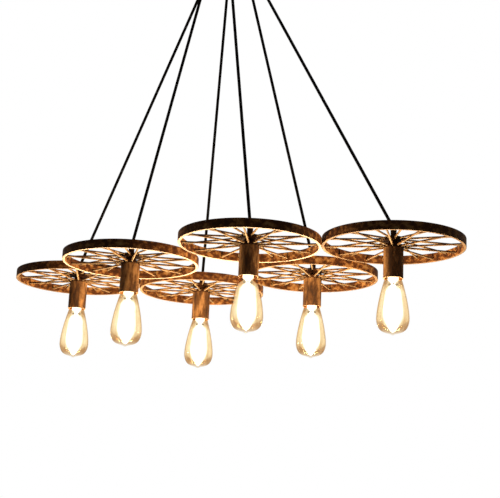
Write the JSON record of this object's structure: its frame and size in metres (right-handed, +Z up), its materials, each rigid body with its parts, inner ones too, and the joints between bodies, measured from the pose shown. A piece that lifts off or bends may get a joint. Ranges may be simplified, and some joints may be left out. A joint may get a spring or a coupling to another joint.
{
  "type": "wheel chandelier",
  "caption": "Chandelier of spoked iron wheels hung in a touching ring, each on its own cord from one round canopy, with a flanged hub, a socket cup and a filament lamp below.",
  "frame": {"origin": "middle of the ceiling bracket's upper face, on the ceiling", "axes": "+Z up, +X along the ring of wheels from end wheel a to end wheel f, +Y to its far side"},
  "size_m": [1.046, 0.5604, 0.916],
  "materials": {
    "rim_iron": "dark rust patina",
    "spoke_iron": "dark rust patina",
    "hub_iron": "blackened",
    "cup_iron": "streaked copper-brown rust patina",
    "grip_iron": "blackened",
    "holder_plastic": "moulded",
    "cord_cover": "braided textile sleeve",
    "lamp_glass": "clear amber",
    "lamp_brass": "bright",
    "canopy_paint": "satin black",
    "grommet_plastic": "moulded",
    "bracket_steel": "zinc plated",
    "stud_steel": "zinc plated",
    "nut_paint": "satin black",
    "terminal_plastic": "moulded"
  },
  "bodies": {
    "ceiling": {"canopy": "canopy_paint", "canopy_grommets": "grommet_plastic", "ceiling_bracket": "bracket_steel", "canopy_studs": "stud_steel", "canopy_nuts": "nut_paint", "terminal_block": "terminal_plastic"},
    "pendant_a": {"rim_a": "rim_iron", "spokes_a": "spoke_iron", "hub_a": "hub_iron", "socket_cup_a": "cup_iron", "lampholder_a": "holder_plastic", "cord_grip_a": "grip_iron", "cord_a": "cord_cover"},
    "lamp_a": {"bulb_glass_a": "lamp_glass", "bulb_cap_a": "lamp_brass"},
    "pendant_b": {"rim_b": "rim_iron", "spokes_b": "spoke_iron", "hub_b": "hub_iron", "socket_cup_b": "cup_iron", "lampholder_b": "holder_plastic", "cord_grip_b": "grip_iron", "cord_b": "cord_cover"},
    "lamp_b": {"bulb_glass_b": "lamp_glass", "bulb_cap_b": "lamp_brass"},
    "pendant_c": {"rim_c": "rim_iron", "spokes_c": "spoke_iron", "hub_c": "hub_iron", "socket_cup_c": "cup_iron", "lampholder_c": "holder_plastic", "cord_grip_c": "grip_iron", "cord_c": "cord_cover"},
    "lamp_c": {"bulb_glass_c": "lamp_glass", "bulb_cap_c": "lamp_brass"},
    "pendant_d": {"rim_d": "rim_iron", "spokes_d": "spoke_iron", "hub_d": "hub_iron", "socket_cup_d": "cup_iron", "lampholder_d": "holder_plastic", "cord_grip_d": "grip_iron", "cord_d": "cord_cover"},
    "lamp_d": {"bulb_glass_d": "lamp_glass", "bulb_cap_d": "lamp_brass"},
    "pendant_e": {"rim_e": "rim_iron", "spokes_e": "spoke_iron", "hub_e": "hub_iron", "socket_cup_e": "cup_iron", "lampholder_e": "holder_plastic", "cord_grip_e": "grip_iron", "cord_e": "cord_cover"},
    "lamp_e": {"bulb_glass_e": "lamp_glass", "bulb_cap_e": "lamp_brass"},
    "pendant_f": {"rim_f": "rim_iron", "spokes_f": "spoke_iron", "hub_f": "hub_iron", "socket_cup_f": "cup_iron", "lampholder_f": "holder_plastic", "cord_grip_f": "grip_iron", "cord_f": "cord_cover"},
    "lamp_f": {"bulb_glass_f": "lamp_glass", "bulb_cap_f": "lamp_brass"}
  },
  "joints": [
    {"name": "swing_a", "type": "hinge", "parent": "ceiling", "child": "pendant_a", "pos_m": [-0.044, 0, -0.01894], "axis": [0, 1, 0], "range_deg": [0, 8]},
    {"name": "unscrew_a", "type": "slide", "parent": "pendant_a", "child": "lamp_a", "axis": [0, 0, -1], "range_m": [0, 0.032]},
    {"name": "swing_b", "type": "hinge", "parent": "ceiling", "child": "pendant_b", "pos_m": [-0.022, -0.0381, -0.01894], "axis": [-1, 0, 0], "range_deg": [0, 8]},
    {"name": "unscrew_b", "type": "slide", "parent": "pendant_b", "child": "lamp_b", "axis": [0, 0, -1], "range_m": [0, 0.032]},
    {"name": "swing_c", "type": "hinge", "parent": "ceiling", "child": "pendant_c", "pos_m": [0.022, -0.0381, -0.01894], "axis": [-1, 0, 0], "range_deg": [0, 8]},
    {"name": "unscrew_c", "type": "slide", "parent": "pendant_c", "child": "lamp_c", "axis": [0, 0, -1], "range_m": [0, 0.032]},
    {"name": "swing_d", "type": "hinge", "parent": "ceiling", "child": "pendant_d", "pos_m": [-0.022, 0.0381, -0.01894], "axis": [1, 0, 0], "range_deg": [0, 8]},
    {"name": "unscrew_d", "type": "slide", "parent": "pendant_d", "child": "lamp_d", "axis": [0, 0, -1], "range_m": [0, 0.032]},
    {"name": "swing_e", "type": "hinge", "parent": "ceiling", "child": "pendant_e", "pos_m": [0.022, 0.0381, -0.01894], "axis": [1, 0, 0], "range_deg": [0, 8]},
    {"name": "unscrew_e", "type": "slide", "parent": "pendant_e", "child": "lamp_e", "axis": [0, 0, -1], "range_m": [0, 0.032]},
    {"name": "swing_f", "type": "hinge", "parent": "ceiling", "child": "pendant_f", "pos_m": [0.044, 0, -0.01894], "axis": [0, -1, 0], "range_deg": [0, 8]},
    {"name": "unscrew_f", "type": "slide", "parent": "pendant_f", "child": "lamp_f", "axis": [0, 0, -1], "range_m": [0, 0.032]}
  ]
}
